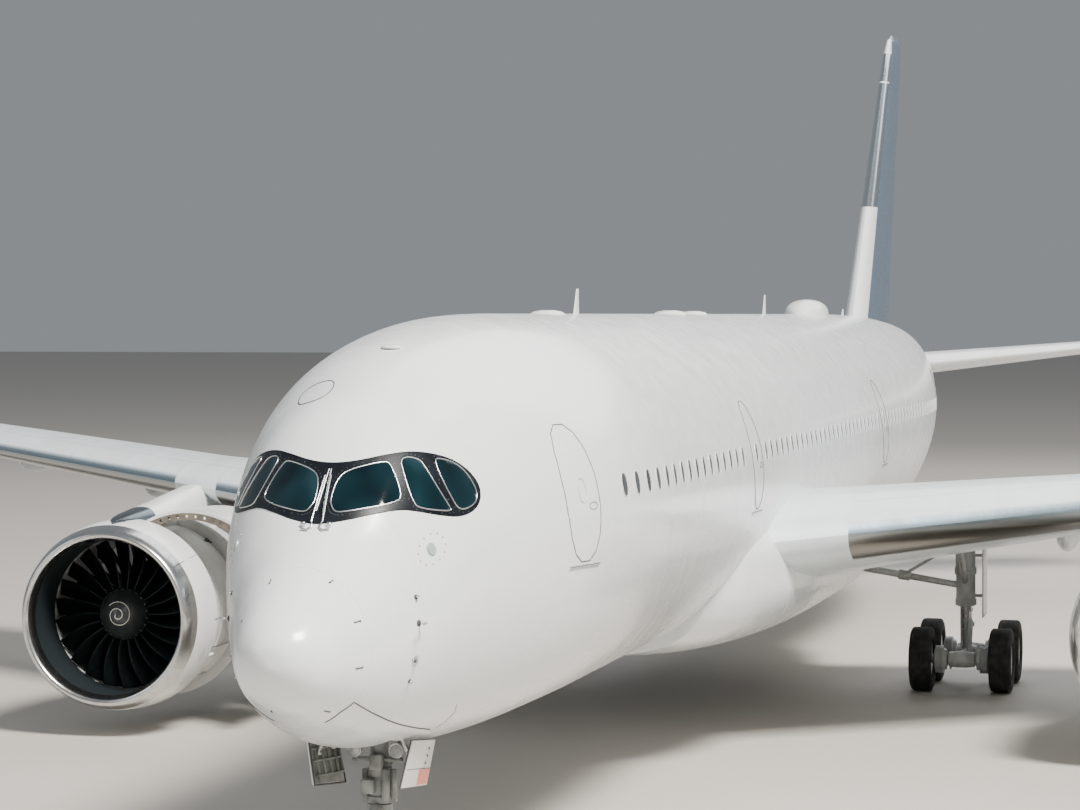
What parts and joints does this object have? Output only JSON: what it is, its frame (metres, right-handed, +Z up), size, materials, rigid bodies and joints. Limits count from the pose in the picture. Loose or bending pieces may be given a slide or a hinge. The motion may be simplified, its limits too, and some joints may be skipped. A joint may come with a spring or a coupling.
{
  "type": "half-scale model of a twin-engine wide-body airliner",
  "caption": "Wide-body twin-engine airliner parked on its landing gear, with turning fans and wheels, steering nose gear and hinged flight controls, flaps, cowls and cargo doors.",
  "frame": {"origin": "on the ground under the middle of the length and width", "axes": "+X to the port side, +Y towards the tail, +Z up"},
  "size_m": [32.3984, 33.4, 8.525],
  "materials": {
    "white_paint": "gloss white aircraft paint over composite skin",
    "blue_paint": "gloss blue-grey aircraft paint",
    "grey_paint": "light grey wing paint with polished leading edges",
    "glazing": "dark flight deck windows in a black surround",
    "bare_metal": "machined alloy",
    "hot_metal": "heat-stained exhaust alloy",
    "fan_metal": "dark satin titanium fan",
    "gear_paint": "pale grey landing gear paint",
    "tyre": "worn black tyre rubber"
  },
  "bodies": {
    "airframe": {"radome": "white_paint", "windscreen": "glazing", "nose_section": "white_paint", "forward_fuselage": "white_paint", "aft_fuselage": "white_paint", "tail_cone": "white_paint", "belly_fairing": "white_paint", "wing_port": "grey_paint", "wing_starboard": "grey_paint", "tailplane_port": "white_paint", "tailplane_starboard": "white_paint", "fin": "blue_paint", "engine_inlet_port": "white_paint", "engine_core_port": "hot_metal", "thrust_reverser_port": "white_paint", "pylon_port": "white_paint", "engine_inlet_starboard": "white_paint", "engine_core_starboard": "hot_metal", "thrust_reverser_starboard": "white_paint", "pylon_starboard": "white_paint", "nose_gear_leg": "gear_paint", "nose_gear_door_port": "white_paint", "nose_gear_door_starboard": "white_paint", "main_gear_leg_port": "gear_paint", "main_gear_leg_starboard": "gear_paint"},
    "inboard_flap_port": {"inboard_flap_port": "grey_paint"},
    "outboard_flap_port": {"outboard_flap_port": "grey_paint"},
    "aileron_port": {"aileron_port": "grey_paint"},
    "elevator_port": {"elevator_port": "white_paint"},
    "fan_port": {"engine_fan_port": "fan_metal"},
    "fan_cowl_inboard_port": {"fan_cowl_inboard_port": "white_paint"},
    "fan_cowl_outboard_port": {"fan_cowl_outboard_port": "white_paint"},
    "main_wheels_front_port": {"main_wheels_front_port": "bare_metal", "main_tyre_front_outer_port": "tyre", "main_tyre_front_inner_port": "tyre"},
    "main_wheels_rear_port": {"main_wheels_rear_port": "bare_metal", "main_tyre_rear_outer_port": "tyre", "main_tyre_rear_inner_port": "tyre"},
    "inboard_flap_starboard": {"inboard_flap_starboard": "grey_paint"},
    "outboard_flap_starboard": {"outboard_flap_starboard": "grey_paint"},
    "aileron_starboard": {"aileron_starboard": "grey_paint"},
    "elevator_starboard": {"elevator_starboard": "white_paint"},
    "fan_starboard": {"engine_fan_starboard": "fan_metal"},
    "fan_cowl_inboard_starboard": {"fan_cowl_inboard_starboard": "white_paint"},
    "fan_cowl_outboard_starboard": {"fan_cowl_outboard_starboard": "white_paint"},
    "main_wheels_front_starboard": {"main_wheels_front_starboard": "bare_metal", "main_tyre_front_outer_starboard": "tyre", "main_tyre_front_inner_starboard": "tyre"},
    "main_wheels_rear_starboard": {"main_wheels_rear_starboard": "bare_metal", "main_tyre_rear_outer_starboard": "tyre", "main_tyre_rear_inner_starboard": "tyre"},
    "rudder": {"rudder": "blue_paint"},
    "forward_cargo_door": {"forward_cargo_door": "white_paint"},
    "aft_cargo_door": {"aft_cargo_door": "white_paint"},
    "nose_steering": {"nose_gear_steering": "gear_paint"},
    "nose_wheels": {"nose_wheels": "bare_metal", "nose_tyre_port": "tyre", "nose_tyre_starboard": "tyre"}
  },
  "joints": [
    {"name": "inboard_flap_port_hinge", "type": "hinge", "parent": "airframe", "child": "inboard_flap_port", "pos_m": [3.53775, -0.10369, 1.65907], "axis": [-0.9884, 0.0421, -0.1461], "range_deg": [0, 35]},
    {"name": "outboard_flap_port_hinge", "type": "hinge", "parent": "airframe", "child": "outboard_flap_port", "pos_m": [8.59867, 1.25428, 2.32312], "axis": [-0.9033, -0.4178, -0.0979], "range_deg": [0, 35]},
    {"name": "aileron_port_hinge", "type": "hinge", "parent": "airframe", "child": "aileron_port", "pos_m": [12.79915, 3.22036, 2.98459], "axis": [-0.9025, -0.4227, -0.0828], "range_deg": [-25, 25]},
    {"name": "elevator_port_hinge", "type": "hinge", "parent": "airframe", "child": "elevator_port", "pos_m": [2.525, 14.6957, 3.57744], "axis": [-0.9461, -0.3104, -0.0923], "range_deg": [-30, 15]},
    {"name": "fan_port_spin", "type": "hinge", "parent": "airframe", "child": "fan_port", "pos_m": [5.1, -5.7, 1.17], "axis": [0, 1, 0], "continuous": true},
    {"name": "fan_cowl_inboard_port_hinge", "type": "hinge", "parent": "airframe", "child": "fan_cowl_inboard_port", "pos_m": [4.90456, -5.7, 2.08946], "axis": [0, 1, 0], "range_deg": [0, 55]},
    {"name": "fan_cowl_outboard_port_hinge", "type": "hinge", "parent": "airframe", "child": "fan_cowl_outboard_port", "pos_m": [5.29544, -5.7, 2.08946], "axis": [0, -1, 0], "range_deg": [0, 55]},
    {"name": "main_wheels_front_port_spin", "type": "hinge", "parent": "airframe", "child": "main_wheels_front_port", "pos_m": [2.65, -0.51, 0.35], "axis": [1, 0, 0], "continuous": true},
    {"name": "main_wheels_rear_port_spin", "type": "hinge", "parent": "airframe", "child": "main_wheels_rear_port", "pos_m": [2.65, 0.51, 0.35], "axis": [1, 0, 0], "continuous": true},
    {"name": "inboard_flap_starboard_hinge", "type": "hinge", "parent": "airframe", "child": "inboard_flap_starboard", "pos_m": [-3.53775, -0.10369, 1.65907], "axis": [-0.9884, -0.0421, 0.1461], "range_deg": [0, 35]},
    {"name": "outboard_flap_starboard_hinge", "type": "hinge", "parent": "airframe", "child": "outboard_flap_starboard", "pos_m": [-8.59867, 1.25428, 2.32312], "axis": [-0.9033, 0.4178, 0.0979], "range_deg": [0, 35]},
    {"name": "aileron_starboard_hinge", "type": "hinge", "parent": "airframe", "child": "aileron_starboard", "pos_m": [-12.79915, 3.22036, 2.98459], "axis": [-0.9025, 0.4227, 0.0828], "range_deg": [-25, 25]},
    {"name": "elevator_starboard_hinge", "type": "hinge", "parent": "airframe", "child": "elevator_starboard", "pos_m": [-2.525, 14.6957, 3.57744], "axis": [-0.9461, 0.3104, 0.0923], "range_deg": [-30, 15]},
    {"name": "fan_starboard_spin", "type": "hinge", "parent": "airframe", "child": "fan_starboard", "pos_m": [-5.1, -5.7, 1.17], "axis": [0, 1, 0], "continuous": true},
    {"name": "fan_cowl_inboard_starboard_hinge", "type": "hinge", "parent": "airframe", "child": "fan_cowl_inboard_starboard", "pos_m": [-4.90456, -5.7, 2.08946], "axis": [0, -1, 0], "range_deg": [-40, 15]},
    {"name": "fan_cowl_outboard_starboard_hinge", "type": "hinge", "parent": "airframe", "child": "fan_cowl_outboard_starboard", "pos_m": [-5.29544, -5.7, 2.08946], "axis": [0, 1, 0], "range_deg": [0, 55]},
    {"name": "main_wheels_front_starboard_spin", "type": "hinge", "parent": "airframe", "child": "main_wheels_front_starboard", "pos_m": [-2.65, -0.51, 0.35], "axis": [1, 0, 0], "continuous": true},
    {"name": "main_wheels_rear_starboard_spin", "type": "hinge", "parent": "airframe", "child": "main_wheels_rear_starboard", "pos_m": [-2.65, 0.51, 0.35], "axis": [1, 0, 0], "continuous": true},
    {"name": "rudder_hinge", "type": "hinge", "parent": "airframe", "child": "rudder", "pos_m": [0, 14.12878, 6], "axis": [0, 0.4878, 0.873], "range_deg": [-30, 30]},
    {"name": "forward_cargo_door_hinge", "type": "hinge", "parent": "airframe", "child": "forward_cargo_door", "pos_m": [-1.481, -9.8, 2.406], "axis": [0, 1, 0], "range_deg": [0, 145]},
    {"name": "aft_cargo_door_hinge", "type": "hinge", "parent": "airframe", "child": "aft_cargo_door", "pos_m": [-1.481, 4.2, 2.406], "axis": [0, 1, 0], "range_deg": [0, 145]},
    {"name": "nose_gear_steering_swivel", "type": "hinge", "parent": "airframe", "child": "nose_steering", "pos_m": [0, -14.325, 0.7], "axis": [0, 0, 1], "range_deg": [-72, 72]},
    {"name": "nose_wheels_spin", "type": "hinge", "parent": "nose_steering", "child": "nose_wheels", "pos_m": [0, -14.325, 0.2625], "axis": [1, 0, 0], "continuous": true}
  ]
}
